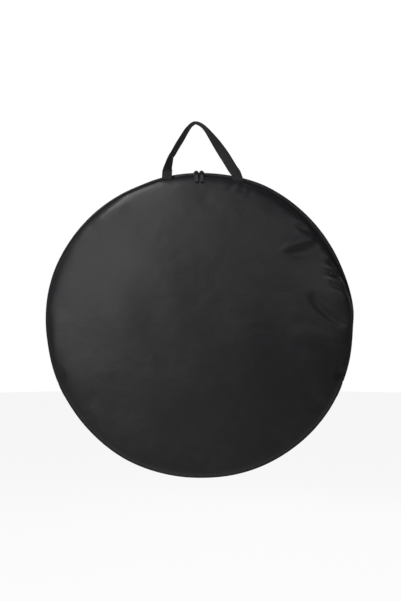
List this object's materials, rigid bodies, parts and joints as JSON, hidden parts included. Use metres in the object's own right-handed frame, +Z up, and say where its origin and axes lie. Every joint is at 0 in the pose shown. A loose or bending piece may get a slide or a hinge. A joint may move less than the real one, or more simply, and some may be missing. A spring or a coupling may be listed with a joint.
{
  "type": "bike wheel bag",
  "caption": "Round padded bag for one bike wheel, with a two-way zip round its upper rim, a front panel that folds down and a twisted webbing handle at the top",
  "frame": {"origin": "underside of the handle's top, where a hook bears", "axes": "+Z up, the front panel faces -Y, +X to the right of somebody who looks at the front"},
  "size_m": [0.736, 0.122, 0.8566],
  "materials": {
    "coated_nylon": "smooth black coated nylon, soft sheen",
    "foam_padding": "grey closed-cell foam, matt",
    "lining_cloth": "dark grey woven lining",
    "hub_patch_cloth": "black heavy woven nylon",
    "binding_tape": "black ribbed binding tape",
    "zip_tape": "black knitted zip tape",
    "zip_coil": "black nylon coil",
    "slider_metal": "dark coated die casting",
    "pull_metal": "dark grey satin metal",
    "webbing": "black woven webbing, matt"
  },
  "bodies": {
    "bag_body": {"back_panel": "coated_nylon", "back_padding": "foam_padding", "back_lining": "lining_cloth", "back_hub_patch": "hub_patch_cloth", "back_seam_binding": "binding_tape", "lower_front_panel": "coated_nylon", "lower_front_padding": "foam_padding", "lower_front_lining": "lining_cloth", "lower_rim_binding": "binding_tape", "back_zip_tape": "zip_tape", "back_zip_coil": "zip_coil", "zip_end_tab_left": "binding_tape", "zip_end_tab_right": "binding_tape", "zip_stop_left": "slider_metal", "zip_stop_right": "slider_metal"},
    "front_flap": {"upper_front_panel": "coated_nylon", "upper_front_padding": "foam_padding", "upper_front_lining": "lining_cloth", "front_hub_patch": "hub_patch_cloth", "front_seam_binding": "binding_tape", "front_zip_tape": "zip_tape", "front_zip_coil": "zip_coil", "handle_foot_left": "webbing", "handle_foot_right": "webbing"},
    "handle": {"handle_strap": "webbing"},
    "slider_left": {"zip_slider_left": "slider_metal"},
    "slider_right": {"zip_slider_right": "slider_metal"},
    "pull_left": {"zip_pull_left": "pull_metal"},
    "pull_right": {"zip_pull_right": "pull_metal"}
  },
  "joints": [
    {"name": "flap_open", "type": "hinge", "parent": "bag_body", "child": "front_flap", "pos_m": [0.0113, -0.06, -0.62488], "axis": [1, 0, 0], "range_deg": [0, 165]},
    {"name": "zip_left", "type": "hinge", "parent": "front_flap", "child": "slider_left", "pos_m": [0.0113, 0, -0.487], "axis": [0, -1, 0], "range_deg": [0, 108], "deforming": ["handle_foot_left"]},
    {"name": "zip_right", "type": "hinge", "parent": "front_flap", "child": "slider_right", "pos_m": [0.0113, 0, -0.487], "axis": [0, 1, 0], "range_deg": [0, 108], "deforming": ["handle_foot_right"]},
    {"name": "pull_left_turn", "type": "hinge", "parent": "slider_left", "child": "pull_left", "pos_m": [0.00159, 0, -0.11498], "axis": [-0.9997, 0, -0.0261], "range_deg": [0, 220]},
    {"name": "pull_right_turn", "type": "hinge", "parent": "slider_right", "child": "pull_right", "pos_m": [0.01474, 0, -0.11487], "axis": [-1, 0, 0.0092], "range_deg": [0, 220]},
    {"name": "handle_swing", "type": "hinge", "parent": "front_flap", "child": "handle", "pos_m": [0.0113, -0.0099, -0.12115], "axis": [1, 0, 0], "range_deg": [-70, 130]}
  ],
  "couplings": [
    {"joint": "zip_left", "follows": "flap_open", "ratio": 0.6545},
    {"joint": "zip_right", "follows": "flap_open", "ratio": 0.6545}
  ]
}
